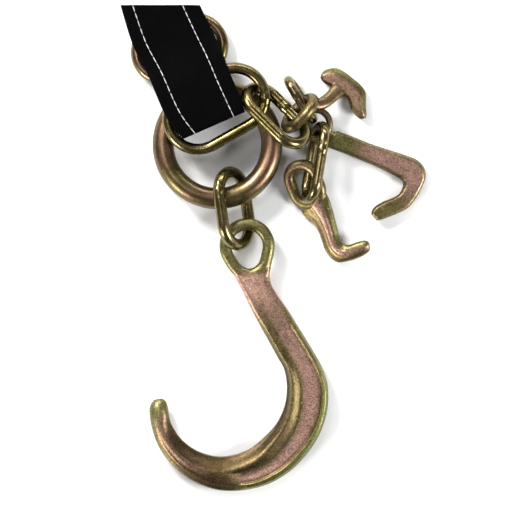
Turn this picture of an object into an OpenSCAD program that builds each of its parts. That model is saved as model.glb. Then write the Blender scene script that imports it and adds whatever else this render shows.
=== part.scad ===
// Hook end of a tie-down strap: sleeved webbing eye, ring and links, large J hook,
// and a cluster of T, mini J and R hooks. It lies on a flat surface, +Z up.
// Origin: middle of the outline on the resting surface. Millimetres.

/* [Strap] */
// Width of the load webbing
webbing_w = 48; // [25:1:75]
// Thickness of one ply of webbing
webbing_t = 3; // [2:0.5:4]
// Width of the woven sleeve
sleeve_w = 58.5; // [52:0.5:85]
// Thickness of the sleeve with a ply inside
sleeve_t = 5.6; // [4.5:0.1:8]
// Distance between the two rows of stitching
stitch_gap = 41; // [20:1:60]
// Where the strap's centre line starts at its far end, along X
strap_x = -98.3; // [-300:0.1:300]
// Where the strap's centre line starts at its far end, along Y
strap_y = 211.8; // [-300:0.1:300]
// Direction of the strap seen from above, from +X
strap_heading = -65.7; // [-180:0.1:180]

/* [Main ring] */
// Radius of the ring's centre line
ring_r = 47.3; // [30:0.1:80]
// Diameter of the ring's bar
ring_bar = 18.6; // [10:0.2:30]
// Centre of the ring
ring_at = [-48.3, 90.7, 18.3]; // [-300:0.1:300]
// Heading, pitch and roll of the ring
ring_turn = [-90, 3.5, -0.5]; // [-180:0.1:180]

/* [Oval links] */
// Radius of the oval link's rounded ends, to the bar's centre line
oval_end_r = 26.1; // [12:0.1:40]
// Radius of the second oval link's rounded ends, to the bar's centre line
spare_end_r = 23.6; // [12:0.1:40]
// Half length of the oval link's straight sides
oval_side = 18.5; // [5:0.5:40]
// Half length of the second oval link's straight sides
spare_side = 14.5; // [5:0.5:40]
// Diameter of both links' bars
oval_bar = 9.8; // [6:0.1:16]
// Centre of the oval link at the fold of the eye
oval_at = [-49.1, 121.3, 32.4]; // [-300:0.1:300]
// Heading, pitch and roll of that link
oval_turn = [29.5, 0.7, 2]; // [-180:0.1:180]
// Centre of the second oval link, further up the eye
spare_at = [-81.3, 174, 11.1]; // [-300:0.1:300]
// Heading, pitch and roll of the second oval link
spare_turn = [11.5, 0, 0]; // [-180:0.1:180]

/* [Coupling links] */
// Diameter of the bar of the hook link and the cluster link
link_bar = 10.4; // [6:0.1:16]
// Rounded end radius of the hook link
hook_link_r = 19.4; // [10:0.1:30]
// Half length of the oval link's straight sides
hook_link_side = 12.4; // [5:0.1:40]
// Centre of the hook link
hook_link_at = [-33.8, 34.7, 20.9]; // [-300:0.1:300]
// Heading, pitch and roll of the hook link
hook_link_turn = [-82, 0, 125.5]; // [-180:0.1:180]
// Rounded end radius of the cluster link
cluster_link_r = 15.6; // [10:0.1:30]
// Half length of the oval link's straight sides
cluster_link_side = 16.2; // [5:0.1:40]
// Centre of the cluster link
cluster_link_at = [2.8, 115.3, 32.3]; // [-300:0.1:300]
// Heading, pitch and roll of the cluster link
cluster_link_turn = [-45, 6.5, 134.5]; // [-180:0.1:180]
// Diameter of the short link's bar
short_bar = 8.2; // [5:0.1:12]
// Rounded end radius of the short link
short_r = 10.9; // [6:0.1:20]
// Half length of the oval link's straight sides
short_side = 9; // [4:0.5:30]
// Centre of the short link
short_at = [24.2, 129.6, 14.9]; // [-300:0.1:300]
// Heading, pitch and roll of the short link
short_turn = [-58, -0.5, 97]; // [-180:0.1:180]
// Diameter of the R hook link's bar
r_link_bar = 9; // [5:0.1:12]
// Rounded end radius of the R hook link
r_link_r = 14.2; // [8:0.1:20]
// Half length of the oval link's straight sides
r_link_side = 18; // [8:0.5:30]
// Centre of the R hook link
r_link_at = [36.8, 74.8, 19.3]; // [-300:0.1:300]
// Heading, pitch and roll of the R hook link
r_link_turn = [-99.5, 3.5, 73.5]; // [-180:0.1:180]

/* [J hook] */
// Radius of the J hook's eye, to the middle of its rim
j_eye_r = 18.9; // [12:0.1:30]
// Width of the rim of the eye
j_eye_rim = 10; // [6:0.2:16]
// Centre of the eye
j_at = [-22.6, 2.3, 15.7]; // [-300:0.1:300]
// Heading, pitch and roll of the J hook
j_turn = [0, -0.4, 1.8]; // [-180:0.1:180]

/* [T hook] */
// Diameter of the bar of the T hook's eye
t_bar = 10.4; // [6:0.1:16]
// Rounded end radius of the eye
t_eye_r = 12.6; // [8:0.1:20]
// Half length of the eye's straight sides
t_eye_side = 3.8; // [0:0.1:15]
// Centre of the eye
t_at = [23.3, 117.6, 23.8]; // [-300:0.1:300]
// Heading, pitch and roll of the eye
t_turn = [45, 13, 111.5]; // [-180:0.1:180]

/* [Mini J hook] */
// Radius of the mini J hook's eye, to the middle of its rim
mini_eye_r = 12.4; // [8:0.1:20]
// Width of the rim of the eye
mini_rim = 6; // [4:0.2:10]
// Centre of the eye
mini_at = [37, 108.3, 13.8]; // [-300:0.1:300]
// Heading, pitch and roll of the mini J hook
mini_turn = [-0.5, -3.5, 2.5]; // [-180:0.1:180]

/* [R hook] */
// Rounded end radius of the R hook's eye
r_eye_r = 12.6; // [8:0.1:20]
// Half length of the eye's straight sides
r_eye_side = 5.5; // [0:0.5:15]
// Width of the rim of the eye
r_rim = 9.6; // [6:0.2:14]
// Centre of the eye
r_at = [27.8, 55.8, 10.4]; // [-300:0.1:300]
// Heading, pitch and roll of the R hook
r_turn = [4.5, 18.5, 13.5]; // [-180:0.1:180]

/* [Hidden] */
$fn = 48;
chromate = [0.62, 0.52, 0.30];
chromate_pink = [0.66, 0.47, 0.40];
fabric = [0.04, 0.04, 0.045];
thread = [0.75, 0.75, 0.72];

// ---------- helpers ----------

// Put a child at a point, with its X axis along a heading and pitch, then rolled about it
module put(at, turn) {
    translate(at)
        rotate([0, 0, turn[0]])
            rotate([0, -turn[1], 0])
                rotate([turn[2], 0, 0])
                    children();
}

// Round-bar obround link, long axis X
module link(end_r, side, bar) {
    for (k = [0, 1]) {
        rotate([0, 0, 180 * k]) {
            translate([side, 0, 0])
                rotate([0, 0, -90])
                    rotate_extrude(angle = 180)
                        translate([end_r, 0])
                            circle(d = bar);
            translate([-side, end_r, 0])
                rotate([0, 90, 0])
                    cylinder(d = bar, h = 2 * side);
        }
    }
}

// Catmull-Rom value between b and c
function smooth(a, b, c, d, t) =
    0.5 * (2 * b + (c - a) * t + (2 * a - 5 * b + 4 * c - d) * t * t
    + (3 * b - a - 3 * c + d) * t * t * t);

// Rows [x, y, z, half width, half thickness] filled in smoothly
function fill_rows(rows, steps) =
    let (n = len(rows))
    concat(
        [for (i = [0:n - 2])
            for (k = [0:steps - 1])
                smooth(rows[max(i - 1, 0)], rows[i], rows[i + 1], rows[min(i + 2, n - 1)], k / steps)],
        [rows[n - 1]]
    );

// Direction of travel at row i, in the XY plane
function heading_at(rows, i) =
    let (
        a = rows[max(i - 1, 0)],
        b = rows[min(i + 1, len(rows) - 1)],
        d = [b[0] - a[0], b[1] - a[1]]
    )
    d / norm(d);

// Signed power, for a rounded-box section
function soft(v, e) = sign(v) * pow(abs(v), e);

// One section of a forged arm: a ring of points
function section(rows, i, sides, e) =
    let (
        r = rows[i],
        d = heading_at(rows, i)
    )
    [for (k = [0:sides - 1])
        let (
            c = soft(cos(360 * k / sides), e) * r[3],
            s = soft(sin(360 * k / sides), e) * r[4]
        )
        [r[0] - d[1] * c, r[1] + d[0] * c, r[2] + s]];

// A forged arm swept along rows, with rounded-box sections
module arm(rows, steps = 4, sides = 20, e = 0.7) {
    path = fill_rows(rows, steps);
    n = len(path);
    points = [for (i = [0:n - 1]) each section(path, i, sides, e)];
    skin = [
        for (i = [0:n - 2])
            for (k = [0:sides - 1])
                let (
                    a = i * sides + k,
                    b = i * sides + (k + 1) % sides
                )
                each [[a, b + sides, b], [a, a + sides, b + sides]]
    ];
    caps = [
        [for (k = [0:sides - 1]) k],
        [for (k = [sides - 1:-1:0]) (n - 1) * sides + k]
    ];
    polyhedron(points, concat(skin, caps));
}

// ---------- strap ----------

// Side profile of a ply: [distance along the strap, height of its middle]
front_path = [[-32, 19.4], [36, 19.8], [48, 26], [62, 38.5], [74, 41.8], [115.8, 41.8]];
fold_path = [[104, 41.2], [107.3, 38.8], [108.7, 34], [109, 26], [109, 12], [107, 6], [102, 3.4]];
back_path = [[-32, 3.1], [30, 3.1], [70, 3.1], [98, 3.1]];

// Unit normal of a path at point i, in the side view
function side_normal(path, i) =
    let (
        a = path[max(i - 1, 0)],
        b = path[min(i + 1, len(path) - 1)],
        d = [b[0] - a[0], b[1] - a[1]]
    )
    [-d[1], d[0]] / norm(d);

// A path moved sideways by d
function shifted(path, d) = [for (i = [0:len(path) - 1]) path[i] + side_normal(path, i) * d];

// A ribbon of even thickness along a side profile
module ribbon(path, t, w) {
    up = shifted(path, t / 2);
    low = shifted(path, -t / 2);
    down = [for (i = [len(low) - 1:-1:0]) low[i]];
    translate([strap_x, strap_y, 0])
        rotate([0, 0, strap_heading])
            rotate([90, 0, 0])
                translate([0, 0, -w / 2])
                    linear_extrude(height = w)
                        polygon(concat(up, down));
}

// The strap's far end, cut level across the view
module cut_end() {
    difference() {
        children();
        translate([-220, 211.8, -1])
            cube([240, 60, 90]);
    }
}

// The webbing's whole run: front ply, fold and back ply
webbing_path = concat(
    [for (i = [0:4]) front_path[i]],
    [[99, 41.8]],
    fold_path,
    [for (i = [3:-1:0]) back_path[i]]
);

// Load webbing, folded into the eye
module webbing() {
    color(fabric)
        cut_end()
            ribbon(webbing_path, webbing_t, webbing_w);
}

// Woven sleeve round one ply, with a way through for the webbing
module sleeve(path) {
    cut_end()
        difference() {
            ribbon(path, sleeve_t, sleeve_w);
            ribbon(webbing_path, webbing_t + 0.2, webbing_w + 0.6);
        }
}

module sleeve_front() {
    color(fabric)
        sleeve(front_path);
}

module sleeve_back() {
    color(fabric)
        sleeve(back_path);
}

// A row of thread on the sleeve's upper face
module stitch_row(across) {
    color(thread)
        cut_end()
            translate([across * cos(strap_heading + 90), across * sin(strap_heading + 90), 0])
                ribbon(shifted(front_path, sleeve_t / 2 + 0.3), 0.5, 1);
}

module stitch_left() {
    stitch_row(-stitch_gap / 2);
}

module stitch_right() {
    stitch_row(stitch_gap / 2);
}

// ---------- ring and links ----------

module main_ring() {
    color(chromate)
        put(ring_at, ring_turn)
            rotate_extrude()
                translate([ring_r, 0])
                    circle(d = ring_bar);
}

module oval_link() {
    color(chromate)
        put(oval_at, oval_turn)
            link(oval_end_r, oval_side, oval_bar);
}

module spare_oval_link() {
    color(chromate)
        put(spare_at, spare_turn)
            link(spare_end_r, spare_side, oval_bar);
}

module hook_link() {
    color(chromate)
        put(hook_link_at, hook_link_turn)
            link(hook_link_r, hook_link_side, link_bar);
}

module cluster_link() {
    color(chromate)
        put(cluster_link_at, cluster_link_turn)
            link(cluster_link_r, cluster_link_side, link_bar);
}

module short_link() {
    color(chromate)
        put(short_at, short_turn)
            link(short_r, short_side, short_bar);
}

module r_link() {
    color(chromate)
        put(r_link_at, r_link_turn)
            link(r_link_r, r_link_side, r_link_bar);
}

// ---------- hooks ----------

// Forged J: [x, y, z, half width, half thickness] from the eye to the tip
j_rows = [
    [1.5, -21, 0, 13, 4.8], [4.5, -28, 0, 12.8, 6.2], [8, -36, 0, 12.4, 7.5],
    [20, -56, 0, 13.6, 8.6], [32, -77.5, 0, 13.9, 9.2], [44.5, -99.5, 0, 15, 9.4],
    [51.5, -126.5, 0, 17.6, 9.5], [47.5, -153, 0, 18.3, 9.5], [30.5, -177, 0, 17.7, 9.5],
    [5, -194.5, 0, 16.5, 9.5], [-20.5, -198.5, 0, 15, 9.5], [-48, -190.5, 0, 12.8, 9.2],
    [-67, -172, 0, 9.8, 8.8], [-76.5, -148, 0, 8.9, 8.4], [-77.5, -139.5, 0, 7.8, 7.4],
    [-77.5, -134.5, 0, 4.6, 4.6]
];

module j_hook() {
    color(chromate_pink)
        put(j_at, j_turn) {
            rotate_extrude()
                translate([j_eye_r, 0])
                    circle(d = j_eye_rim);
            arm(j_rows, 4, 24, 0.72);
        }
}

// T hook shank and head, in the frame of the part
t_shank_rows = [
    [34.5, 126.5, 26, 4.8, 4.6], [42, 128.5, 22.5, 5.3, 5], [49.5, 131.5, 17.5, 5.4, 5], [58, 138, 11, 6, 5]
];
t_head_rows = [
    [42, 150.5, 8, 3.6, 4.4], [46.5, 150, 8, 6.2, 5.2], [53, 148, 8, 7.8, 5.6],
    [62.5, 141.5, 8, 8.6, 5.6], [70.5, 135, 8, 8, 5.6], [75.5, 126.5, 8, 6.8, 5.2],
    [77.5, 119, 8, 4.8, 4.6], [78.5, 113.5, 8, 2.2, 3]
];

module t_hook() {
    color(chromate) {
        put(t_at, t_turn)
            link(t_eye_r, t_eye_side, t_bar);
        arm(t_shank_rows, 3, 16, 0.75);
        arm(t_head_rows, 3, 16, 0.75);
    }
}

mini_rows = [
    [10, -11.5, 0, 7, 4.2], [18.5, -14.5, 0, 8.3, 5], [30, -19.5, 0, 8.8, 5],
    [47.5, -26.5, 0, 8.8, 5], [65, -33.5, 0, 9, 5], [78, -38.5, 0, 9.6, 5],
    [85.5, -45.5, 0, 9.6, 5], [84.5, -55.5, 0, 8.4, 5], [78, -65, 0, 7.3, 5],
    [68.5, -70.5, 0, 7.8, 5], [58.5, -75, 0, 7, 5], [52.5, -78, 0, 5.2, 4.6], [49.5, -78.5, 0, 3, 3]
];

module mini_j_hook() {
    color(chromate_pink)
        put(mini_at, mini_turn) {
            rotate_extrude()
                translate([mini_eye_r, 0])
                    circle(d = mini_rim);
            arm(mini_rows, 3, 16, 0.72);
        }
}

r_rows = [
    [6.5, -19.5, 0, 8.4, 4.4], [9.5, -25, 0, 9.8, 5], [11.5, -30, 0, 9.6, 5.2],
    [13.5, -36, 0.3, 9.2, 5.4], [15, -42.5, 0.8, 8.5, 5.4], [16.5, -50, 1.6, 8.1, 5.2],
    [18.5, -56.5, 2.4, 8.4, 5.1], [22, -61.5, 2.8, 8.9, 5], [26.5, -63.8, 2.8, 8.7, 5],
    [32, -63.5, 2.4, 8.1, 5], [39, -62, 1.6, 7.6, 5], [46, -60.3, 0.8, 6.3, 4.8], [50, -59.8, 0.5, 3.8, 3.4]
];

module r_hook() {
    color(chromate_pink)
        put(r_at, r_turn) {
            rotate([0, 0, -77])
                link(r_eye_r, r_eye_side, r_rim);
            arm(r_rows, 3, 16, 0.72);
        }
}

webbing();
sleeve_front();
sleeve_back();
stitch_left();
stitch_right();
main_ring();
oval_link();
spare_oval_link();
hook_link();
j_hook();
cluster_link();
t_hook();
short_link();
mini_j_hook();
r_link();
r_hook();
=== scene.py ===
import math
import random

import bpy
import mathutils.kdtree
import numpy as np
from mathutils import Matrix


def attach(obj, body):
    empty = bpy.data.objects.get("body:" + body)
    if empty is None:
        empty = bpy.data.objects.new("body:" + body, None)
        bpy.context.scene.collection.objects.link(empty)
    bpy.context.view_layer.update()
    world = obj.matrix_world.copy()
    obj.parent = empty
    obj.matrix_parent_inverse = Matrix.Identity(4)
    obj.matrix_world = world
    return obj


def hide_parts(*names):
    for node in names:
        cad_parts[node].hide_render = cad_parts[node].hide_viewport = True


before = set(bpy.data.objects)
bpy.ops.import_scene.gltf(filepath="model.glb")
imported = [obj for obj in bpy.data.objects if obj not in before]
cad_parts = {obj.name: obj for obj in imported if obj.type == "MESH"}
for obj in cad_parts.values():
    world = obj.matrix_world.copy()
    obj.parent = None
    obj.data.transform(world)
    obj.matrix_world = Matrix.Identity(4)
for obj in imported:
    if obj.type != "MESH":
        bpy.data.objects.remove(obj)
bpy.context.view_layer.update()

rng = random.Random(7)
MM = 0.001
BLACK = (0, 0, 0)
WHITE = (1, 1, 1)


# ---------- camera, light ----------

scene = bpy.context.scene
SENSOR = 36.0
CAMERA_HEIGHT = 5.0  # far enough for the photo's nearly parallel view
SUBJECT_HEIGHT = 0.018  # the level at which the picture is PICTURE_WIDTH wide
PICTURE_WIDTH = 0.4507
LOOK = (-0.0122, -0.0074)


def add_camera():
    """Straight down, like the photo."""
    data = bpy.data.cameras.new("camera")
    data.sensor_width = SENSOR
    data.sensor_fit = "HORIZONTAL"
    data.lens = SENSOR * (CAMERA_HEIGHT - SUBJECT_HEIGHT) / PICTURE_WIDTH
    data.clip_end = 20.0
    camera = bpy.data.objects.new("camera", data)
    scene.collection.objects.link(camera)
    camera.location = (LOOK[0], LOOK[1], CAMERA_HEIGHT)
    scene.camera = camera


def area_light(name, place, size, power, colour=WHITE, target=(0, 0, 0), size_y=None):
    data = bpy.data.lights.new(name, "AREA")
    data.energy = power
    data.color = colour
    data.size = size
    if size_y:
        data.shape = "RECTANGLE"
        data.size_y = size_y
    light = bpy.data.objects.new(name, data)
    scene.collection.objects.link(light)
    light.location = place
    aim = np.array(target, float) - np.array(place, float)
    aim /= np.linalg.norm(aim)
    light.rotation_euler = (math.acos(-aim[2]), 0, math.atan2(aim[1], aim[0]) - math.pi / 2)


def add_world(colour, strength):
    world = bpy.data.worlds.new("studio")
    scene.world = world
    world.use_nodes = True
    background = world.node_tree.nodes["Background"]
    background.inputs["Color"].default_value = (*colour, 1)
    background.inputs["Strength"].default_value = strength


add_camera()
scene.view_settings.view_transform = "Standard"
area_light("key", (-0.75, 0.95, 1.0), size=0.42, power=30, colour=(1, 0.99, 0.97))
area_light("fill", (1.05, -0.35, 0.75), size=0.4, power=17, colour=(0.98, 0.99, 1))
area_light("strip", (0.15, 1.15, 0.5), size=1.1, power=7, target=(0, 0.05, 0), size_y=0.10)
area_light("top", (-0.38, 0.32, 1.5), size=0.36, power=3)
area_light("low", (-0.95, -0.8, 0.55), size=0.35, power=12, colour=(1, 0.98, 0.95))
add_world((0.93, 0.95, 1.0), 0.15)


# ---------- material helpers ----------

class Graph:
    """A material's node tree, with short calls for adding and linking nodes. A value is a number,
    or another node's output to link."""

    def __init__(self, name):
        self.mat = bpy.data.materials.new(name)
        self.mat.use_nodes = True
        self.tree = self.mat.node_tree
        self.bsdf = self.tree.nodes["Principled BSDF"]

    def link(self, output, socket):
        self.tree.links.new(output, socket)

    def put(self, value, socket):
        if hasattr(value, "is_output"):
            self.link(value, socket)
        else:
            socket.default_value = value

    def node(self, kind, **values):
        made = self.tree.nodes.new(kind)
        for key, value in values.items():
            if key in made.inputs.keys():
                self.put(value, made.inputs[key])
            else:
                setattr(made, key, value)
        return made

    def math(self, operation, *values, clamp=False):
        made = self.node("ShaderNodeMath", operation=operation, use_clamp=clamp)
        for socket, value in zip(made.inputs, values):
            self.put(value, socket)
        return made.outputs[0]

    def noise(self, where, scale, detail=3.0, rough=0.55, distort=0.0):
        made = self.node("ShaderNodeTexNoise", Vector=where, Scale=scale, Detail=detail, Roughness=rough,
                         Distortion=distort)
        return made.outputs["Fac"]

    def ramp(self, fac, stops):
        made = self.tree.nodes.new("ShaderNodeValToRGB")
        elements = made.color_ramp.elements
        while len(elements) < len(stops):
            elements.new(0.5)
        for element, (position, colour) in zip(elements, stops):
            element.position = position
            element.color = (*colour, 1)
        self.link(fac, made.inputs["Fac"])
        return made.outputs["Color"]

    def mask(self, fac, low, high):
        """White above high, black below low."""
        return self.ramp(fac, [(low, BLACK), (high, WHITE)])

    def mix(self, fac, under, over, mode="MIX"):
        made = self.node("ShaderNodeMix", data_type="RGBA", blend_type=mode)
        colours = [c if hasattr(c, "is_output") else (*c, 1) for c in (under, over)]
        # a Mix node's colour sockets come after those for numbers and vectors
        for socket, value in zip((0, 6, 7), (fac, *colours)):
            self.put(value, made.inputs[socket])
        return made.outputs[2]

    def bump(self, height, strength, distance, below=None):
        made = self.node("ShaderNodeBump", Strength=strength, Distance=distance, Height=height)
        if below is not None:
            self.link(below, made.inputs["Normal"])
        return made.outputs["Normal"]

    def coordinate(self, name):
        """One of the coordinates of the Texture Coordinate node."""
        return self.node("ShaderNodeTexCoord").outputs[name]

    def set(self, **values):
        """Sockets of the shader, with _ for a space in their names."""
        for name, value in values.items():
            self.put(value, self.bsdf.inputs[name.replace("_", " ")])


# Yellow chromate over zinc shows these where the film is thick or thin. Some are painted light: olive and
# brown as shade on steep walls, a brown as shade on bevels, a dark one as shade in hollows and a pale one as
# a highlight on sharp edges.
FILM = [(0.32, (0.13, 0.095, 0.035)), (0.42, (0.29, 0.225, 0.075)), (0.50, (0.46, 0.37, 0.16)),
        (0.58, (0.38, 0.27, 0.13)), (0.70, (0.30, 0.27, 0.09))]
BLUSH = (0.52, 0.27, 0.21)
# Olive is partly the film's own colour and partly painted shade on steep walls; the deep brown is painted
# shade there
OLIVE = (0.26, 0.29, 0.085)
WALL_SHADE_BROWN = (0.15, 0.10, 0.045)
PANEL_PINK = (1.05, 0.63, 0.50)
RIM_GREEN = (0.29, 0.335, 0.10)
# Painted shade for the forgings' bevels, creases and steps
BEVEL_SHADE_BROWN = (0.125, 0.085, 0.04)
# Painted highlight on sharp edges
EDGE_HIGHLIGHT = (0.66, 0.62, 0.36)
# Painted shade in hollows and creases
HOLLOW_SHADE = (0.085, 0.052, 0.02)
SPECKS = [(0.37, (0.30, 0.27, 0.24)), (0.50, (0.92, 0.92, 0.92)), (0.60, (1.25, 1.23, 1.2))]


def film_colour_and_wall_shade(g, where, patch, pink, shade):
    """Gold with drifts of pink, turning olive and brown on steep walls: the olive is partly the film's own
    colour and partly painted shade, the brown is painted shade.
    """
    drift = g.noise(where, 17, 2, 0.5, 0.4)
    tone = g.math("ADD", g.math("MULTIPLY", drift, 0.6), g.math("MULTIPLY", patch, 0.4))
    base = g.ramp(tone, [(position, shade(colour)) for position, colour in FILM])
    blush = g.mask(g.noise(where, 26, 3, 0.55, 0.5), 0.56 - 0.20 * pink, 0.66 - 0.14 * pink)
    base = g.mix(g.math("MULTIPLY", blush, 0.25 + 0.6 * pink), base, shade(BLUSH))
    normal = g.node("ShaderNodeSeparateXYZ", Vector=g.node("ShaderNodeNewGeometry").outputs["True Normal"])
    # Painted shade: sides turned away from the overhead lamps turn olive, then dark brown where steep
    wall = g.math("SUBTRACT", 1.0, g.math("ABSOLUTE", normal.outputs["Z"]))
    wall = g.math("ADD", wall, g.math("MULTIPLY_ADD", patch, 0.8, -0.40))
    base = g.mix(g.math("MULTIPLY", g.mask(wall, 0.22, 0.62), 0.62), base, shade(OLIVE))
    return g.mix(g.math("MULTIPLY", g.mask(wall, 0.62, 0.98), 0.7), base, shade(WALL_SHADE_BROWN))


def zone_colour_and_shade(g, base, patch, shade):
    """The forging's own pink panels and green rims, and a brown painted shade on bevels, creases and steps,
    from its "zone" attribute.
    """
    zone = g.node("ShaderNodeAttribute", attribute_name="zone").outputs["Color"]
    pink, green, dark = g.node("ShaderNodeSeparateColor", Color=zone).outputs
    uneven = g.math("MULTIPLY_ADD", patch, 0.9, 0.45, clamp=True)
    base = g.mix(g.math("MULTIPLY", pink, uneven), base, shade(PANEL_PINK))
    base = g.mix(g.math("MULTIPLY", green, g.math("MULTIPLY", uneven, 0.8)), base, shade(RIM_GREEN))
    # The dark tint is painted shade
    return g.mix(g.math("MULTIPLY", dark, 0.85), base, shade(BEVEL_SHADE_BROWN))


def plated(name, seed, pink, grain, rough, dark, zones=False):
    """Plated steel. pink is the share of pink drifts, grain how sandy the forged skin is, rough the
    gloss and dark the factor on every film colour."""
    g = Graph(name)

    def shade(colour):
        return tuple(x * dark for x in colour)

    place = g.node("ShaderNodeMapping", Vector=g.coordinate("Object"))
    place.inputs["Location"].default_value = (seed * 0.37, seed * 0.61, seed * 0.23)
    where = place.outputs["Vector"]
    patch = g.noise(where, 60, 4, 0.62, 0.9)
    base = film_colour_and_wall_shade(g, where, patch, pink, shade)
    if zones:
        base = zone_colour_and_shade(g, base, patch, shade)
    edge = g.node("ShaderNodeNewGeometry").outputs["Pointiness"]
    # Painted highlight: sharp convex edges turn pale
    base = g.mix(g.math("MULTIPLY", g.mask(edge, 0.52, 0.575), 0.6), base, EDGE_HIGHLIGHT)
    # Painted shade: hollows and creases turn dark
    hollow_shade_mask = g.ramp(edge, [(0.43, WHITE), (0.485, BLACK)])
    base = g.mix(g.math("MULTIPLY", hollow_shade_mask, 0.75), base, HOLLOW_SHADE)
    specks = g.noise(where, 720, 3, 0.7)
    g.set(Base_Color=g.mix(0.25 + 0.6 * grain, base, g.ramp(specks, SPECKS), "MULTIPLY"), Metallic=1.0)
    facing = g.node("ShaderNodeLayerWeight", Blend=0.35).outputs["Facing"]
    gloss = g.math("MULTIPLY_ADD", g.noise(where, 130, 4, 0.6), 0.22, rough - 0.11)
    gloss = g.math("MULTIPLY_ADD", specks, 0.12 * grain, gloss)
    g.set(Roughness=g.math("MULTIPLY_ADD", facing, -0.06, gloss))
    dents = g.bump(g.noise(where, 80, 3, 0.5), 0.12 + 0.4 * grain, 0.0006)
    pits = g.bump(g.noise(where, 420, 3, 0.65), 0.12 + 0.55 * grain, 0.00022, dents)
    g.set(Normal=g.bump(g.noise(where, 1250, 3, 0.6), 0.08 + 0.9 * grain, 0.00012, pits))
    return g.mat


def woven(name, tint, pitch):
    """Black twill: fine diagonal ribs from crossed waves, in the piece's own UV metres."""
    g = Graph(name)
    uv = g.coordinate("UV")
    u, v, _ = g.node("ShaderNodeSeparateXYZ", Vector=uv).outputs
    warp = g.math("SINE", g.math("MULTIPLY", u, 2 * math.pi / pitch))
    weft = g.math("SINE", g.math("MULTIPLY", v, 2 * math.pi / pitch))
    diagonal = g.math("ADD", u, g.math("MULTIPLY", v, 0.8))
    rib = g.math("SINE", g.math("MULTIPLY", diagonal, math.pi / pitch))
    plain = g.math("MULTIPLY", g.math("MULTIPLY", warp, weft), 0.45)
    cloth = g.math("ADD", plain, g.math("MULTIPLY", rib, 0.55))
    fuzz = g.noise(uv, 2600, 3, 0.7)
    cloud = g.noise(uv, 55, 4, 0.6)
    tone = g.math("MULTIPLY_ADD", cloth, 0.18, g.math("MULTIPLY_ADD", cloud, 0.55, 0.22))
    deep = tuple(c * 0.45 for c in tint)
    light = tuple(c * 1.9 for c in tint)
    g.set(Base_Color=g.ramp(tone, [(0.30, deep), (0.52, tint), (0.78, light)]),
          Roughness=g.math("MULTIPLY_ADD", fuzz, 0.16, 0.72),
          Specular_IOR_Level=0.03, Sheen_Weight=0.002, Sheen_Roughness=0.45)
    creases = g.bump(cloud, 0.35, 0.0012)
    height = g.math("ADD", cloth, g.math("MULTIPLY", fuzz, 0.7))
    g.set(Normal=g.bump(height, 0.75, 0.00022, creases))
    return g.mat


def thread_material():
    """Slightly soiled white thread with a twist."""
    g = Graph("thread_white")
    where = g.coordinate("Object")
    soil = g.noise(where, 160, 3, 0.6)
    fuzz = g.noise(where, 2400, 3, 0.7)
    twist = g.node("ShaderNodeTexWave", Vector=where, Scale=900.0, Distortion=1.5)
    g.set(Base_Color=g.ramp(soil, [(0.35, (0.42, 0.42, 0.41)), (0.60, (0.66, 0.66, 0.65))]),
          Roughness=g.math("MULTIPLY_ADD", fuzz, 0.2, 0.55),
          Normal=g.bump(twist.outputs["Fac"], 0.5, 0.0001))
    return g.mat


def floor_material():
    g = Graph("floor_pale")
    soft = g.noise(g.coordinate("Object"), 6, 2, 0.5)
    g.set(Base_Color=g.ramp(soft, [(0.3, (0.90, 0.90, 0.90)), (0.7, (0.93, 0.93, 0.93))]),
          Roughness=0.9, Specular_IOR_Level=0.1)
    return g.mat


# ---------- mesh helpers ----------

def mesh_object(name, verts, faces, material, uvs=None, smooth=True):
    mesh = bpy.data.meshes.new(name)
    mesh.from_pydata([tuple(map(float, v)) for v in verts], [], faces)
    if uvs is not None:
        layer = mesh.uv_layers.new(name="UVMap")
        flat = np.array([uvs[i] for loop in faces for i in loop], dtype=np.float32)
        layer.data.foreach_set("uv", flat.ravel())
    mesh.materials.append(material)
    if smooth:
        mesh.polygons.foreach_set("use_smooth", [True] * len(mesh.polygons))
    mesh.update()
    made = bpy.data.objects.new(name, mesh)
    scene.collection.objects.link(made)
    return made


def declare(piece, body, node):
    """The piece moves with the body and stands for the CAD node, which it hides."""
    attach(piece, body)
    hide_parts(node)
    return piece


def turn_matrix(turn):
    """The part's own order of turns: heading, pitch (nose up) and roll, in degrees."""
    h, p, r = (math.radians(angle) for angle in turn)
    heading = np.array([[math.cos(h), -math.sin(h), 0], [math.sin(h), math.cos(h), 0], [0, 0, 1]])
    pitch = np.array([[math.cos(p), 0, -math.sin(p)], [0, 1, 0], [math.sin(p), 0, math.cos(p)]])
    roll = np.array([[1, 0, 0], [0, math.cos(r), -math.sin(r)], [0, math.sin(r), math.cos(r)]])
    return heading @ pitch @ roll


def placed(points, centre, turn):
    return np.asarray(points) @ turn_matrix(turn).T + np.array(centre) * MM


def placed_part(part, centre, turn):
    return (placed(part[0], centre, turn), *part[1:])


def closed_faces(count, sides):
    """Quads of a bar whose last ring of points joins its first."""
    return [(i * sides + k, ((i + 1) % count) * sides + k,
             ((i + 1) % count) * sides + (k + 1) % sides, i * sides + (k + 1) % sides)
            for i in range(count) for k in range(sides)]


def open_faces(rings, sides):
    """Quads of a bar from its first ring of points to its last, and a face over each end."""
    quads = [(i * sides + k, i * sides + (k + 1) % sides,
              (i + 1) * sides + (k + 1) % sides, (i + 1) * sides + k)
             for i in range(rings - 1) for k in range(sides)]
    last = (rings - 1) * sides
    return quads + [tuple(range(sides - 1, -1, -1)), tuple(last + k for k in range(sides))]


def section(angle, soft):
    """A point of a bar's unit section: a circle at soft 1, squarer below."""
    return tuple(math.copysign(abs(x) ** soft, x) for x in (math.cos(angle), math.sin(angle)))


def around_circle(radius, start, end, count):
    angles = [math.radians(start + (end - start) * k / (count - 1)) for k in range(count)]
    return [(radius * math.cos(a), radius * math.sin(a)) for a in angles]


def ramp01(x, low, high):
    """0 below low, 1 above high, and a smooth step between."""
    s = min(1.0, max(0.0, (x - low) / (high - low)))
    return s * s * (3 - 2 * s)


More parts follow.
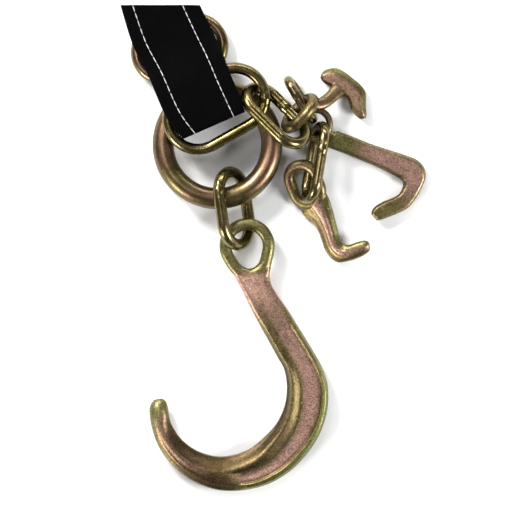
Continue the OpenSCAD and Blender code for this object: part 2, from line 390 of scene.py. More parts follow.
def knots(v, table):
    """Smooth steps between (v, height) points."""
    for (a, height_a), (b, height_b) in zip(table, table[1:]):
        if v <= b:
            return height_a + (height_b - height_a) * ramp01(v, a, b)
    return table[-1][1]


def catmull(rows, steps, closed=False):
    """A smooth line through rows of any number of values."""
    rows = np.array(rows, float)
    n = len(rows)

    def row(j):
        return rows[j % n] if closed else rows[min(max(j, 0), n - 1)]

    out = []
    for i in range(n if closed else n - 1):
        a, b, c, d = (row(i + j) for j in (-1, 0, 1, 2))
        for k in range(steps):
            t = k / steps
            out.append(0.5 * (2 * b + (c - a) * t + (2 * a - 5 * b + 4 * c - d) * t * t
                              + (3 * b - a - 3 * c + d) * t ** 3))
    if not closed:
        out.append(rows[-1])
    return np.array(out)


def run_lengths(points):
    """The distance from the first point to each, along the line."""
    return np.r_[0, np.cumsum(np.linalg.norm(np.diff(points, axis=0), axis=1))]


# ---------- ring and links ----------

def lumps(points, scale, seed):
    """Cheap smooth wobble for hot-formed bars, about -1 to 1."""
    x, y, z = np.moveaxis(np.asarray(points) * scale, -1, 0)
    s = seed * 1.7
    return (np.sin(x * 1.3 + 2.1 * np.sin(y * 0.7 + s) + s)
            + np.sin(y * 1.1 + 1.7 * np.sin(z * 0.9 - s) + 1.3 * s)
            + np.sin(z * 1.7 + 1.9 * np.sin(x * 0.8 + 0.5 * s) + 2.2)) / 3


def obround_path(end_r, side, count):
    """Centre line of an obround, and the outward direction at each point. side is half the length
    of a straight side, and a count of points starts on the lower one."""
    path, outward = [], []
    straight, bend = 2 * side, math.pi * end_r
    for k in range(count):
        d = 2 * (straight + bend) * k / count
        if d < straight:
            point, out = (-side + d, -end_r), (0, -1)
        elif d < straight + bend:
            a = (d - straight) / end_r - math.pi / 2
            point, out = (side + end_r * math.cos(a), end_r * math.sin(a)), (math.cos(a), math.sin(a))
        elif d < 2 * straight + bend:
            point, out = (side - (d - straight - bend), end_r), (0, 1)
        else:
            a = (d - 2 * straight - bend) / end_r + math.pi / 2
            point, out = (-side + end_r * math.cos(a), end_r * math.sin(a)), (math.cos(a), math.sin(a))
        path.append((*point, 0))
        outward.append((*out, 0))
    return np.array(path) * MM, np.array(outward)


def weld_swell(gap):
    """How much thicker a bar is gap mm from its weld: a bead, with a slight neck on each side."""
    return 1.0 + 0.075 * math.exp(-(gap / 2.1) ** 2) - 0.03 * math.exp(-((gap - 4.2) / 1.4) ** 2)


def closed_bar(end_r, side, width, height, count, sides, soft=1.0, weld=None, seed=0, rough=0.0):
    """Vertices and faces of a closed bar swept round an obround, with a weld at point number weld."""
    path, outward = obround_path(end_r, side, count)
    spacing = (2 * math.pi * end_r + 4 * side) / count
    verts = []
    for i in range(count):
        swell = 1.0
        if weld is not None:
            swell = weld_swell(min(abs(i - weld), count - abs(i - weld)) * spacing)
        for k in range(sides):
            out, up = section(2 * math.pi * k / sides, soft)
            lift = np.array([0, 0, up * height / 2 * MM * swell])
            verts.append(path[i] + outward[i] * (out * width / 2 * MM * swell) + lift)
    verts = np.array(verts)
    if rough:
        away = verts - np.repeat(path, sides, axis=0)
        away /= np.linalg.norm(away, axis=1)[:, None]
        verts = verts + away * (lumps(verts, 170, seed) * rough * MM)[:, None]
    return verts, closed_faces(count, sides)


def bar_piece(node, centre, turn, material, end_r, side, bar, **shape):
    """A ring or link that stands for its CAD node."""
    verts, faces = closed_bar(end_r, side, bar, bar, **shape)
    piece = mesh_object(node + "_body", placed(verts, centre, turn), faces, material)
    declare(piece, node, node)


CIRCLE = 0.0001  # the straight side of a ring that has none, mm
smooth_gold = plated("plated_link_gold", 1, pink=0.10, grain=0.05, rough=0.25, dark=0.56)
smooth_brown = plated("plated_link_brown", 4, pink=0.50, grain=0.05, rough=0.28, dark=0.52)
ring_metal = plated("plated_ring", 9, pink=0.55, grain=0.25, rough=0.34, dark=0.40)

bar_piece("main_ring", (-48.3, 90.7, 18.3), (-90, 3.5, -0.5), ring_metal,
          end_r=47.3, side=CIRCLE, bar=18.6, count=300, sides=64, seed=3, rough=0.10)
bar_piece("oval_link", (-49.1, 121.3, 32.4), (29.5, 0.7, 2), smooth_gold,
          end_r=26.1, side=18.5, bar=9.8, count=260, sides=40, weld=70, seed=1, rough=0.05)
bar_piece("spare_oval_link", (-81.3, 174, 11.1), (11.5, 0, 0), smooth_brown,
          end_r=23.6, side=14.5, bar=9.8, count=250, sides=40, weld=190, seed=2, rough=0.05)
bar_piece("hook_link", (-33.8, 34.7, 20.9), (-82, 0, 125.5), smooth_gold,
          end_r=19.4, side=12.4, bar=10.4, count=230, sides=40, weld=155, seed=5, rough=0.05)
bar_piece("cluster_link", (2.8, 115.3, 32.3), (-45, 6.5, 134.5), smooth_gold,
          end_r=15.6, side=16.2, bar=10.4, count=220, sides=40, weld=20, seed=6, rough=0.05)
bar_piece("short_link", (24.2, 129.6, 14.9), (-58, -0.5, 97), smooth_gold,
          end_r=10.9, side=9.0, bar=8.2, count=170, sides=36, weld=110, seed=7, rough=0.04)
bar_piece("r_link", (36.8, 74.8, 19.3), (-99.5, 3.5, 73.5), smooth_gold,
          end_r=14.2, side=18.0, bar=9.0, count=220, sides=40, weld=150, seed=8, rough=0.05)


# ---------- hook helpers ----------

def superellipse(e):
    """A plain rounded profile: an ellipse at e 1, flatter below."""
    return lambda t, v: max(0.0, 1 - abs(v) ** (2 / e)) ** (e / 2)


def swept_arm(rows, profile, steps, half_sides):
    """A bar along rows of [x, y, z, half width, half thickness]."""
    path = catmull(rows, steps)
    run = run_lengths(path[:, :2])
    last = len(path) - 1
    sides = 2 * half_sides
    verts = []
    for i, (x, y, z, half_width, half_height) in enumerate(path):
        ahead = (path[min(i + 1, last)] - path[max(i - 1, 0)])[:2]
        ahead = ahead / np.linalg.norm(ahead)
        for k in range(sides):
            angle = 2 * math.pi * k / sides
            v = math.cos(angle)
            up = profile(run[i] / run[-1], v) * half_height * (1 if math.sin(angle) >= 0 else -1)
            verts.append((x - ahead[1] * v * half_width, y + ahead[0] * v * half_width, z + up))
    return np.array(verts) * MM, open_faces(len(path), sides)


def outer_on_left(rows):
    """Whether the outer edge lies to the left, as seen along the arm."""
    (ax, ay, bx, by), (cx, cy, dx, dy) = rows[0][:4], rows[1][:4]
    ahead = (cx + dx - ax - bx, cy + dy - ay - by)
    return ahead[0] * (by - ay) - ahead[1] * (bx - ax) > 0


def no_zone(t, v):
    return (0, 0, 0)


def lofted(rows, profile, zone=no_zone, *, steps, half_sides):
    """A forged arm between two edges. Rows are [inner x, inner y, outer x, outer y, half thickness]
    and, where it rises, its height; profile(t, v) is the surface's height at v across, from -1
    inside to 1 outside, t along, and zone(t, v) its pink, green and dark tint, the dark one painted shade."""
    path = catmull(rows, steps)
    run = run_lengths((path[:, :2] + path[:, 2:4]) / 2)
    sides = 2 * half_sides
    verts, tints = [], []
    for row, d in zip(path, run):
        t = d / run[-1]
        lift = row[5] if len(row) > 5 else 0
        for k in range(sides):
            angle = 2 * math.pi * k / sides
            v = math.cos(angle)
            x, y = row[:2] + (row[2:4] - row[:2]) * (v + 1) / 2
            up = profile(t, v) * row[4] * (1 if math.sin(angle) >= 0 else -1)
            tints.append(zone(t, v))
            verts.append((x, y, lift + up))
    faces = open_faces(len(path), sides)
    if outer_on_left(rows):
        faces = [face[::-1] for face in faces]
    return np.array(verts) * MM, faces, tints


def eye_loop(points, width, height, tint, soft=0.85, sides=36, steps=14):
    """A flat-forged eye, all of one tint: a closed bar through points of its centre line, which
    go round anticlockwise."""
    path = catmull(points, steps, closed=True)
    n = len(path)
    verts = []
    for i in range(n):
        ahead = path[(i + 1) % n] - path[i - 1]
        ahead /= np.linalg.norm(ahead)
        for k in range(sides):
            out, up = section(2 * math.pi * k / sides, soft)
            c = out * width / 2
            verts.append((path[i][0] + ahead[1] * c, path[i][1] - ahead[0] * c, up * height / 2))
    return np.array(verts) * MM, closed_faces(n, sides), [tint] * len(verts)


ZONE_BLUR = 7  # passes that soften the border between two colour zones


def zone_tints(mesh, verts, zones):
    """Each of the mesh's points takes the tint of the nearest of verts, then blends with its
    neighbours."""
    tree = mathutils.kdtree.KDTree(len(verts))
    for i, v in enumerate(verts):
        tree.insert(v, i)
    tree.balance()
    tint = np.array([(*zones[tree.find(v.co)[1]], 1.0) for v in mesh.vertices], dtype=np.float32)
    ends = np.array([e.vertices[:] for e in mesh.edges])
    share = np.bincount(ends.ravel(), minlength=len(tint)) + 1
    for _ in range(ZONE_BLUR):
        total = tint.copy()
        np.add.at(total, ends[:, 0], tint[ends[:, 1]])
        np.add.at(total, ends[:, 1], tint[ends[:, 0]])
        tint = total / share[:, None]
    return tint.astype(np.float32)


def forged(node, parts, material, voxel, smooth_steps):
    """One forging from overlapping closed shapes: voxel union, then a light smoothing. A part may
    carry a third item, one colour zone (pink, green, and dark for painted shade) per vertex, for the plating
    to follow."""
    verts, faces, zones = [], [], []
    for points, loops, *zone in parts:
        base = len(verts)
        verts += list(points)
        zones += list(zone[0]) if zone else [no_zone(0, 0)] * len(points)
        faces += [tuple(base + i for i in loop) for loop in loops]
    piece = mesh_object(node + "_forging", verts, faces, material)
    union = piece.modifiers.new("union", "REMESH")
    union.mode = "VOXEL"
    union.voxel_size = voxel * MM
    union.use_smooth_shade = True
    soften = piece.modifiers.new("soften", "SMOOTH")
    soften.iterations = smooth_steps
    soften.factor = 0.5
    graph = bpy.context.evaluated_depsgraph_get()
    made = bpy.data.meshes.new_from_object(piece.evaluated_get(graph))
    piece.modifiers.clear()
    rough_mesh = piece.data
    piece.data = made
    bpy.data.meshes.remove(rough_mesh)
    if not made.materials:
        made.materials.append(material)
    layer = made.attributes.new("zone", "FLOAT_COLOR", "POINT")
    layer.data.foreach_set("color", zone_tints(made, verts, zones).ravel())
    made.polygons.foreach_set("use_smooth", [True] * len(made.polygons))
    declare(piece, node, node)


hook_metal = plated("plated_j_hook", 13, pink=0.25, grain=0.9, rough=0.36, dark=0.56, zones=True)
small_metal = plated("plated_small_hooks", 21, pink=0.25, grain=0.8, rough=0.35, dark=0.54, zones=True)


# ---------- J hook ----------

J_AT, J_TURN = (-22.6, 2.3, 15.7), (0, -0.4, 1.8)
J_EYE_TINT = (0.1, 0.75, 0)
J_EYE = around_circle(18.9, -15, 195, 11) + [(-14.6, -12.5), (-7.5, -21.5), (3.5, -25.0), (14.0, -18.5)]
# Inner and outer edges in the hook's own frame, from below the eye, round the bowl, to the tip
J_ROWS = [
    [-12.0, -23.5, 19.5, -23.5, 5.0], [-6.5, -34.0, 21.0, -33.0, 6.2], [-1.0, -45.5, 26.5, -42.5, 7.4],
    [7.5, -62.5, 35.5, -55.5, 8.2], [15.0, -76.0, 43.5, -68.5, 8.8], [26.0, -96.0, 58.0, -92.0, 9.3],
    [32.0, -107.0, 66.0, -107.0, 9.5], [34.5, -120.0, 70.5, -122.0, 9.5], [34.0, -132.5, 70.7, -137.5, 9.5],
    [31.0, -144.0, 68.0, -152.0, 9.5], [25.0, -155.5, 61.5, -168.0, 9.5], [15.0, -166.5, 51.0, -183.0, 9.5],
    [3.5, -176.0, 37.0, -197.0, 9.5], [-9.5, -181.5, 18.0, -208.0, 9.5], [-22.0, -183.5, -4.0, -213.3, 9.5],
    [-33.5, -182.0, -24.0, -213.3, 9.5], [-45.0, -177.5, -41.5, -208.0, 9.4],
    [-55.5, -170.0, -56.0, -199.5, 9.2], [-62.0, -162.0, -68.0, -188.0, 9.0],
    [-66.5, -153.5, -77.0, -175.0, 8.8], [-68.0, -145.5, -82.5, -160.5, 8.4],
    [-69.0, -139.5, -85.0, -146.5, 7.6], [-71.0, -135.0, -84.3, -139.0, 5.8],
    [-74.5, -132.7, -81.0, -134.0, 3.0],
]
# The two webs that carry the eye's sides down into the neck
J_WEBS = [
    [[-23.7, -2, -13.5, -3, 4.2], [-19, -12, -9.5, -13, 4.5], [-11.7, -24.5, -1, -26, 5]],
    [[13.5, -8, 23.7, -7, 4.2], [11.5, -15, 21.2, -16, 4.5], [9, -26, 19.6, -26, 5]],
]


def j_lines(t):
    """Where the ridge, the valley and the panel's outer side lie across the J, at t along it."""
    ridge = -0.74 + 0.80 * ramp01(t, 0.34, 0.86)
    valley = -0.34 + 0.36 * ramp01(t, 0.28, 0.62)
    return ridge, valley, 0.62 - 0.04 * ramp01(t, 0.1, 0.6)


def j_profile(t, v):
    """Flat neck, then a bowl with a rim, a sunk panel and an inner ridge, and a round tip."""
    flat = superellipse(0.5)(t, v)
    bar = superellipse(1.0)(t, v)
    ridge, valley, outer = j_lines(t)
    facet = knots(v, [(-1.0, 0.0), (-0.97, 0.34), (ridge, 1.0), (0.50, 0.84), (0.92, 0.48), (1.0, 0.0)])
    bowl = knots(v, [(-1.0, 0.0), (-0.97, 0.30), (ridge, 1.0), (valley, 0.73), (valley + 0.16, 0.69),
                     (outer - 0.05, 0.74), (outer, 0.71), (outer + 0.09, 0.96), (0.86, 0.90), (0.97, 0.45),
                     (1.0, 0.0)])
    body = flat + (bowl - flat) * ramp01(t, 0.10, 0.24)
    body += (facet - body) * ramp01(t, 0.655, 0.70)
    return body + (bar - body) * ramp01(t, 0.86, 0.95)


def near(v, line, reach):
    """1 on the line, 0 from reach away."""
    return 1 - ramp01(abs(v - line), 0.0, reach)


def j_zone(t, v):
    """Pink in the panel, and green on the rim and tip. Dark is painted shade down the inner bevel, from the
    ridge to the valley, along the valley and at the step, and it also darkens part of the bend's outer half.
    """
    ridge, valley, outer = j_lines(t)
    panel = ramp01(t, 0.06, 0.20) * (1 - ramp01(t, 0.64, 0.70))
    pink = ramp01(v, valley - 0.02, valley + 0.22) * (1 - ramp01(v, outer - 0.06, outer)) * panel
    pink += 0.75 * (1 - ramp01(t, 0.06, 0.16)) + 0.4 * ramp01(t, 0.7, 0.8) * ramp01(v, -0.9, -0.4)
    green = ramp01(v, outer + 0.04, outer + 0.14) * (0.25 + 0.75 * ramp01(t, 0.18, 0.32))
    green += 0.8 * ramp01(t, 0.93, 0.97) + 0.35 * panel * near(v, valley, 0.14)
    # Painted shade down the inner bevel
    bevel = 1 - ramp01(v, ridge - 0.16, ridge - 0.04)
    dark = bevel * ramp01(t, 0.12, 0.3) * (1 - ramp01(t, 0.88, 0.95))
    # Painted shadow at the panel's outer step, and painted shade from the ridge down to the valley and along
    # the valley
    dark += 0.9 * panel * near(v, outer, 0.06)
    dark += 0.75 * panel * ramp01(v, ridge - 0.02, ridge + 0.06) * (1 - ramp01(v, valley - 0.08, valley))
    dark += 0.55 * panel * near(v, valley, 0.07)
    # Darker over part of the bend's outer half
    dark += ramp01(t, 0.66, 0.74) * (1 - ramp01(t, 0.80, 0.92)) * ramp01(v, 0.0, 0.4)
    return min(pink, 1.0), min(green, 1.0), min(dark, 1.0)


def j_hook():
    parts = [eye_loop(J_EYE, width=10.6, height=10.4, tint=J_EYE_TINT)]
    parts.append(lofted(J_ROWS, j_profile, j_zone, steps=12, half_sides=64))
    parts += [lofted(rows, superellipse(0.7), steps=8, half_sides=16) for rows in J_WEBS]
    placed_parts = [placed_part(part, J_AT, J_TURN) for part in parts]
    forged("j_hook", placed_parts, hook_metal, voxel=0.6, smooth_steps=1)


j_hook()


# ---------- T hook ----------

T_AT, T_TURN = (23.3, 117.6, 23.8), (45, 13, 111.5)
T_HEAD_LIFT = 8.0  # height of the head's middle, mm
T_SHANK = [[34.4, 125, 26.1, 4.0, 4.0], [39, 125, 24, 5.0, 4.6], [45, 127.5, 20.5, 5.7, 5.2],
           [51, 132.5, 16, 5.7, 5.2], [58, 139.5, 11, 6.5, 5.2]]
T_HEAD = [
    [41.3, 148.6, 41.8, 151.6, 3.0], [43.2, 145.4, 44.0, 154.6, 4.8], [46.8, 142.4, 49.0, 156.9, 5.4],
    [51.5, 139.5, 56.0, 157.4, 5.6], [56.0, 136.0, 63.0, 153.8, 5.6], [61.0, 132.5, 70.0, 148.5, 5.6],
    [64.5, 129.8, 76.3, 143.2, 5.6], [66.0, 126.0, 80.8, 136.5, 5.6], [67.5, 121.5, 81.3, 128.5, 5.4],
    [71.0, 117.0, 81.4, 121.3, 5.0], [74.5, 113.8, 81.8, 117.0, 4.2], [77.0, 112.5, 81.0, 114.0, 2.4],
]


def t_profile(t, v):
    return knots(v, [(-1.0, 0.0), (-0.93, 0.62), (-0.60, 0.92), (0.25, 1.0), (0.55, 0.84), (0.92, 0.45),
                     (1.0, 0.0)])


def t_zone(t, v):
    """Pink along the middle of the head, green on its outer side, and painted shade on the inner side."""
    pink = 0.5 * ramp01(v, -0.8, -0.3) * (1 - ramp01(v, 0.2, 0.5))
    return pink, 0.8 * ramp01(v, 0.4, 0.7), 0.3 * ramp01(-v, 0.7, 0.9)


def t_hook():
    eye = closed_bar(end_r=12.6, side=3.8, width=10.1, height=10.0, count=140, sides=32)
    head, faces, tints = lofted(T_HEAD, t_profile, t_zone, steps=8, half_sides=32)
    head = head + np.array([0, 0, T_HEAD_LIFT * MM])
    shank = swept_arm(T_SHANK, superellipse(0.7), steps=8, half_sides=20)
    parts = [placed_part(eye, T_AT, T_TURN), shank, (head, faces, tints)]
    forged("t_hook", parts, small_metal, voxel=0.5, smooth_steps=2)


t_hook()


# ---------- mini J hook ----------

MINI_AT, MINI_TURN = (37.0, 108.3, 13.8), (-0.5, -3.5, 2.5)
MINI_NECK = [[2.0, -14.5, 11.5, -6.0, 3.4], [8.5, -20.5, 18.5, -7.0, 4.4]]
MINI_ROWS = [
    [9.0, -19.5, 18.5, -5.5, 4.6], [20.0, -23.5, 25.5, -8.0, 5.0], [32.0, -28.0, 38.0, -12.5, 5.0],
    [44.5, -33.0, 50.0, -17.0, 5.0], [57.5, -38.5, 64.0, -21.5, 5.0], [67.5, -43.5, 77.0, -25.5, 5.0],
    [74.0, -47.0, 89.0, -30.0, 5.0], [76.5, -49.5, 95.5, -37.0, 5.0], [77.0, -52.5, 97.0, -45.5, 5.0],
    [75.5, -57.0, 94.0, -53.5, 5.0], [72.5, -61.0, 89.0, -63.0, 5.0], [67.0, -64.0, 82.0, -72.0, 5.0],
    [59.5, -67.0, 72.0, -77.5, 5.0], [53.0, -71.0, 63.5, -81.0, 5.0], [50.0, -75.0, 58.0, -83.0, 4.4],
    [49.5, -78.0, 54.0, -83.5, 2.6],
]


def plate_profile(t, v):
    """Flat upper face with a broad bevel along both edges."""
    return knots(v, [(-1.0, 0.0), (-0.97, 0.42), (-0.74, 0.95), (-0.60, 1.0), (0.66, 1.0), (0.80, 0.93),
                     (0.98, 0.40), (1.0, 0.0)])


def plate_zone(t, v):
    """Green near the eye, pink along the face, and painted shade down the inner bevel."""
    face = 1 - ramp01(abs(v), 0.62, 0.78)
    pink = face * ramp01(t, 0.12, 0.35) * (1 - ramp01(t, 0.62, 0.85))
    return pink, face * (1 - ramp01(t, 0.08, 0.24)) * 0.7, 0.8 * ramp01(-v, 0.66, 0.86)


def mini_j_hook():
    parts = [
        closed_bar(end_r=12.4, side=CIRCLE, width=5.8, height=6.8, count=130, sides=32, soft=0.9),
        lofted(MINI_ROWS, plate_profile, plate_zone, steps=8, half_sides=36),
        lofted(MINI_NECK, superellipse(0.6), steps=6, half_sides=16),
    ]
    placed_parts = [placed_part(part, MINI_AT, MINI_TURN) for part in parts]
    forged("mini_j_hook", placed_parts, small_metal, voxel=0.5, smooth_steps=3)


mini_j_hook()


# ---------- R hook ----------

R_AT, R_TURN = (27.8, 55.8, 10.4), (4.5, 18.5, 13.5)
R_EYE_HEADING = -77  # of the eye's long axis in the hook's own frame
R_ROWS = [
    [-5.0, -19.5, 17.5, -8.5, 3.6, 0], [-6.5, -24.5, 19.3, -12.5, 4.5, 0], [-4.0, -29.0, 20.5, -17.5, 5.1, 0],
    [0.5, -32.5, 21.5, -25.5, 5.6, 0], [4.0, -37.5, 22.5, -33.5, 5.6, 0.4], [6.5, -43.0, 23.5, -41.5, 5.5, 1],
    [8.5, -51.0, 24.5, -48.5, 5.3, 1.8], [10.5, -59.5, 26.5, -54.0, 5.2, 2.6],
    [14.5, -66.5, 29.0, -56.0, 5.1, 2.8], [20.5, -71.0, 31.5, -56.5, 5.0, 2.8],
    [28.0, -71.0, 35.0, -56.0, 5.0, 2.4], [37.0, -69.5, 40.5, -54.5, 5.0, 1.8],
    [45.5, -66.5, 46.5, -54.0, 4.8, 0.9], [50.0, -63.5, 50.0, -56.0, 3.4, 0.5],
]


def r_profile(t, v):
    """A ridge along the shank, with a broad fall to the inner side."""
    shank = knots(v, [(-1.0, 0.0), (-0.96, 0.38), (-0.30, 0.74), (0.05, 1.0), (0.30, 1.0), (0.62, 0.70),
                      (0.97, 0.40), (1.0, 0.0)])
    foot = superellipse(0.8)(t, v)
    return shank + (foot - shank) * ramp01(t, 0.62, 0.78)


def r_zone(t, v):
    """Pink along the ridge, green outside it, and painted shade on the inner fall."""
    pink = ramp01(v, -0.2, 0.1) * (1 - ramp01(v, 0.35, 0.6))
    return pink, 0.8 * ramp01(v, 0.55, 0.75), 0.5 * ramp01(-v, 0.2, 0.7)


def r_hook():
    eye, faces = closed_bar(end_r=12.6, side=5.5, width=9.4, height=9.2, count=140, sides=32, soft=0.9)
    eye = placed(eye, (0, 0, 0), (R_EYE_HEADING, 0, 0))
    parts = [(eye, faces), lofted(R_ROWS, r_profile, r_zone, steps=8, half_sides=36)]
    placed_parts = [placed_part(part, R_AT, R_TURN) for part in parts]
    forged("r_hook", placed_parts, small_metal, voxel=0.5, smooth_steps=4)


r_hook()


# ---------- strap ----------

STRAP_START = np.array([-98.3, 211.8]) * MM
STRAP_HEADING = math.radians(-65.7)
STRAP_DIR = np.array([math.cos(STRAP_HEADING), math.sin(STRAP_HEADING)])
STRAP_SIDE = np.array([-STRAP_DIR[1], STRAP_DIR[0]])
CUT_SLOPE = math.tan(math.radians(24.3))  # how far the level cut runs on along the strap, per mm across
# Distance along the strap and height of the front ply's middle, mm
FRONT_PATH = [(-32, 19.4), (36, 19.8), (48, 26), (62, 38.5), (74, 41.8), (115.8, 41.8)]
# The webbing from the cut end, over the oval link's bar, through the fold and back below
FOLD_AND_BACK = [(99, 41.8), (104, 41.2), (107.3, 38.8), (108.7, 34), (109, 26), (109, 12), (107, 6),
                 (102, 3.4), (98, 3.1), (70, 3.1), (30, 3.1), (0, 3.1)]
WEB_PATH = [(0, 19.6)] + FRONT_PATH[1:-1] + FOLD_AND_BACK
# Both edges of the front sleeve in plan, mm in the part's frame, from the cut end to the fold
LEFT_EDGE = [(-132.8, 211.7), (-122.2, 177.4), (-108.3, 149.6), (-92.8, 114.1), (-78.0, 94.7)]
RIGHT_EDGE = [(-63.5, 211.7), (-47.0, 177.0), (-36.2, 149.6), (-30.3, 135.3), (-24.2, 118.2)]
EDGE_STEPS = 90
CLOTH_HALF = 2.3  # half the front sleeve's thickness, mm
BACK_WIDTH, BACK_LENGTH, BACK_HEIGHT = 58, 96.5, 3.1
WEB_HALF_WIDTH, WEB_THICKNESS = 23.6, 2.6


def evenly(points):
    """A smooth line through points, as EDGE_STEPS equal steps."""
    line = catmull(points, 12)
    run = run_lengths(line)
    stops = [k / EDGE_STEPS * run[-1] for k in range(EDGE_STEPS + 1)]
    return [np.array([np.interp(d, run, line[:, 0]), np.interp(d, run, line[:, 1])]) for d in stops]


LEFT = evenly(LEFT_EDGE)
RIGHT = evenly(RIGHT_EDGE)


def front_height(s_mm):
    """Height of the front ply, with its bends rounded by averaging over 10 mm."""
    along, heights = zip(*FRONT_PATH)
    span = [np.interp(s_mm + d, along, heights) for d in (-5, -2.5, 0, 2.5, 5)]
    return float(np.mean(span))


def cloth_top(t, u):
    """Middle of the front ply at fraction t along and u across, in metres."""
    step = t * EDGE_STEPS
    k = min(int(step), EDGE_STEPS - 1)
    left = LEFT[k] + (LEFT[k + 1] - LEFT[k]) * (step - k)
    right = RIGHT[k] + (RIGHT[k + 1] - RIGHT[k]) * (step - k)
    x, y = (left + (right - left) * u) * MM
    height = front_height((np.array([x, y]) - STRAP_START) @ STRAP_DIR / MM)
    crown = 0.9 * (1 - (2 * u - 1) ** 2) * (0.3 + 0.7 * math.sin(math.pi * min(1, max(0, t))))
    ripple = 0.35 * math.sin(5.1 * t + 2.2 * u) + 0.25 * math.sin(11 * t - 3 * u)
    curl = -2.2 * max(0.0, (t - 0.95) / 0.05) ** 2
    return np.array([x, y, (height + crown + ripple + curl) * MM])


def across(s_mm, w_mm, z_mm):
    """The place s along the strap, w across it and z up."""
    x, y = STRAP_START + STRAP_DIR * s_mm * MM + STRAP_SIDE * w_mm * MM
    return np.array([x, y, z_mm * MM])


def back_surface(t, u):
    """Middle of the back ply, flat on the floor, from the level cut to the fold."""
    w = (u - 0.5) * BACK_WIDTH
    start = w * CUT_SLOPE
    s = start + (BACK_LENGTH - start) * t
    return across(s, w, BACK_HEIGHT + 0.12 * math.sin(9 * t + 4 * u))


def end_round(t):
    """How much of a sleeve's thickness is left at t along: the end by the fold rounds off."""
    return min(1.0, math.sqrt(max(0.0, 1 - max(0.0, (t - 0.975) / 0.025) ** 2)) + 0.12)


def flat_section(cols):
    """Across a flat ply and back: (u, side) for its upper face, then its lower."""
    return [(k / cols, 1) for k in range(cols + 1)] + [(k / cols, -1) for k in range(cols, -1, -1)]


def flat_faces(rows, cols):
    """Quads of a flat ply whose sections are flat_section's, closed at both ends."""
    n = 2 * (cols + 1)
    faces = [(i * n + k, (i + 1) * n + k, (i + 1) * n + (k + 1) % n, i * n + (k + 1) % n)
             for i in range(rows) for k in range(n)]
    end = rows * n
    for k in range(cols):
        faces.append((k, k + 1, n - 2 - k, n - 1 - k))
        faces.append((end + n - 1 - k, end + n - 2 - k, end + k + 1, end + k))
    return faces


def cloth_tube(node, surface, rows, cols, thick, size):
    """A flat sleeve: top and bottom skins with rounded side edges, from a surface function."""
    verts, uvs = [], []
    for i in range(rows + 1):
        t = i / rows
        for u, side in flat_section(cols):
            edge = min(u, 1 - u)
            round_edge = math.sqrt(min(1.0, max(0.0, edge / 0.045)))
            half = thick / 2 * MM * (0.16 + 0.84 * round_edge) * end_round(t)
            verts.append(surface(t, u) + np.array([0, 0, side * half]))
            uvs.append((u * size[0] * MM + (0.2 if side < 0 else 0), t * size[1] * MM))
    piece = mesh_object(node + "_cloth", verts, flat_faces(rows, cols), sleeve_cloth, uvs)
    return declare(piece, "strap", node)


def webbing():
    """One ply of load webbing, from the cut end through the fold and back."""
    path = catmull(WEB_PATH, 8)
    run = run_lengths(path)
    rows, cols = 150, 24
    verts, uvs = [], []
    for i in range(rows + 1):
        d = run[-1] * i / rows
        places = [min(max(x, 0), run[-1]) for x in (d - 0.5, d, d + 0.5)]
        before, here, after = (np.array([np.interp(x, run, path[:, 0]), np.interp(x, run, path[:, 1])])
                               for x in places)
        ahead = (after - before) / np.linalg.norm(after - before)
        fade = max(0, 1 - here[0] / 40)
        for u, side in flat_section(cols):
            w = (2 * u - 1) * WEB_HALF_WIDTH
            half = WEB_THICKNESS / 2 * side * min(1.0, 0.3 + min(u, 1 - u) / 0.03)
            s = here[0] - ahead[1] * half + w * CUT_SLOPE * fade
            verts.append(across(s, w, here[1] + ahead[0] * half))
            uvs.append((w * MM, d * MM))
    piece = mesh_object("webbing_ply", verts, flat_faces(rows, cols), webbing_cloth, uvs)
    declare(piece, "strap", "webbing")


STITCHES = 18


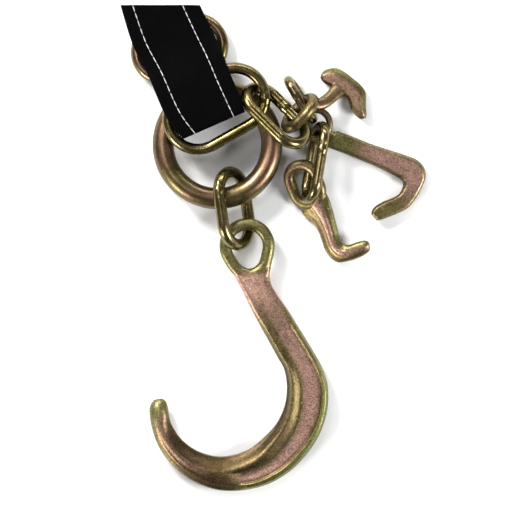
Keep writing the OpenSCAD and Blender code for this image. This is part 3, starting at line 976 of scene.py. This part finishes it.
def one_stitch(k, u_top, u_low):
    """Points of stitch k of a row: a thread that arches out of the sleeve and back."""
    steps, sides = 10, 8
    start = (k + 0.06 + rng.uniform(-0.02, 0.02)) / STITCHES
    stop = (k + 0.92 + rng.uniform(-0.02, 0.02)) / STITCHES
    skew = rng.uniform(-0.003, 0.003)
    verts = []
    for j in range(steps + 1):
        f = j / steps
        t = start + (stop - start) * f
        u = u_top + (u_low - u_top) * t + skew * (f - 0.5)
        here = cloth_top(t, u)
        ahead = cloth_top(min(t + 0.004, 1), u) - here
        ahead /= np.linalg.norm(ahead)
        beside = np.cross(ahead, (0, 0, 1))
        beside /= np.linalg.norm(beside)
        up = np.cross(beside, ahead)
        arch = math.sin(math.pi * f)
        middle = here + up * (CLOTH_HALF * end_round(t) - 0.10 + 0.22 * arch) * MM
        radius = (0.16 + 0.13 * arch) * MM
        for a in range(sides):
            angle = 2 * math.pi * a / sides
            verts.append(middle + beside * math.cos(angle) * radius * 1.25 + up * math.sin(angle) * radius)
    return verts, open_faces(steps + 1, sides)


def stitch_row(name, node, u_top, u_low):
    """A row of separate thread stitches sunk at both ends into the sleeve."""
    verts, faces = [], []
    for k in range(STITCHES):
        points, loops = one_stitch(k, u_top, u_low)
        faces += [tuple(len(verts) + i for i in loop) for loop in loops]
        verts += points
    return declare(mesh_object(name, verts, faces, white_thread), "strap", node)


sleeve_cloth = woven("sleeve_black_twill", (0.0008, 0.0008, 0.001), 0.0013)
webbing_cloth = woven("webbing_black", (0.0011, 0.0011, 0.0013), 0.0019)
white_thread = thread_material()

front = cloth_tube("sleeve_front", cloth_top, rows=110, cols=48, thick=2 * CLOTH_HALF, size=(62, 131))
back = cloth_tube("sleeve_back", back_surface, rows=80, cols=40, thick=5.0, size=(58, 96))
webbing()
stitches = [stitch_row("stitches_left", "stitch_left", 0.153, 0.196),
            stitch_row("stitches_right", "stitch_right", 0.779, 0.818)]


# ---------- floor ----------

FLOOR_HALF = 6  # metres
FLOOR_DROP = 0.0003  # how far the floor lies under the part's own zero height
corners = [(x * FLOOR_HALF, y * FLOOR_HALF, 0) for x, y in ((-1, -1), (1, -1), (1, 1), (-1, 1))]
floor = mesh_object("floor", corners, [(0, 1, 2, 3)], floor_material(), smooth=False)
floor.location.z = -FLOOR_DROP
